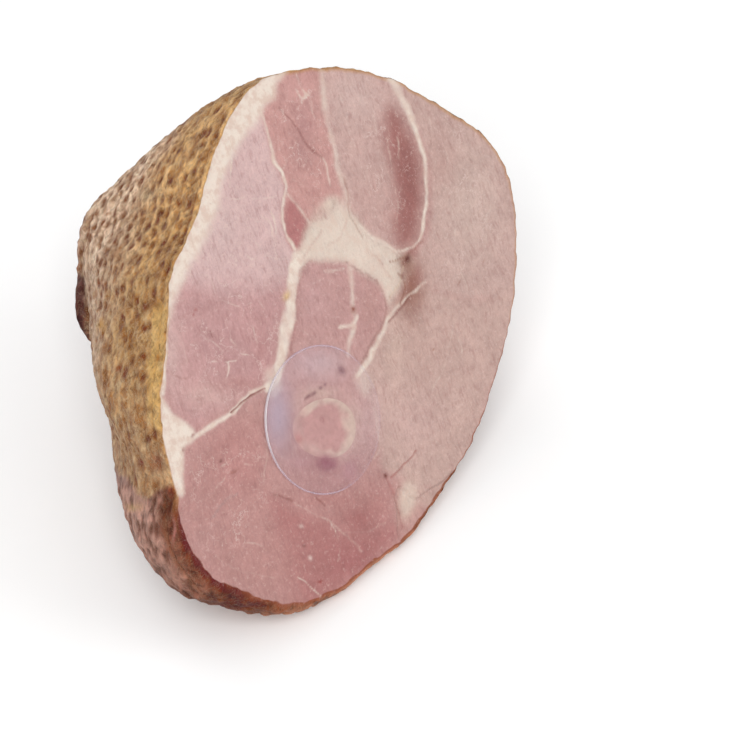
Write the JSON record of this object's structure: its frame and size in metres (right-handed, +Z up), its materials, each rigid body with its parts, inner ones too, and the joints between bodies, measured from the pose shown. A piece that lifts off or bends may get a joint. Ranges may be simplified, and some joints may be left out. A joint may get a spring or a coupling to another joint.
{
  "type": "spiral cut half ham",
  "caption": "Bone-in half ham lying on its side: flat cut face tilted up, netted rind outside, tapering to the shank end, with a round clear disc over the cut bone.",
  "frame": {"origin": "on the ground, under the middle of the ham's bounding box", "axes": "+Z up; the cut face looks toward -Y and leans back 32.8 degrees; +X runs level along the cut face, to the right as one looks at it; the shank end points to +Y"},
  "size_m": [0.2644, 0.1994, 0.1904],
  "materials": {
    "cured_meat": "moist pink cured meat with cream fat and a browned rind",
    "bone": "sawn bone with pink marrow",
    "clear_plastic": "thin clear film"
  },
  "bodies": {
    "root": {"ham": "cured_meat", "leg_bone": "bone", "bone_guard": "clear_plastic"}
  },
  "joints": []
}
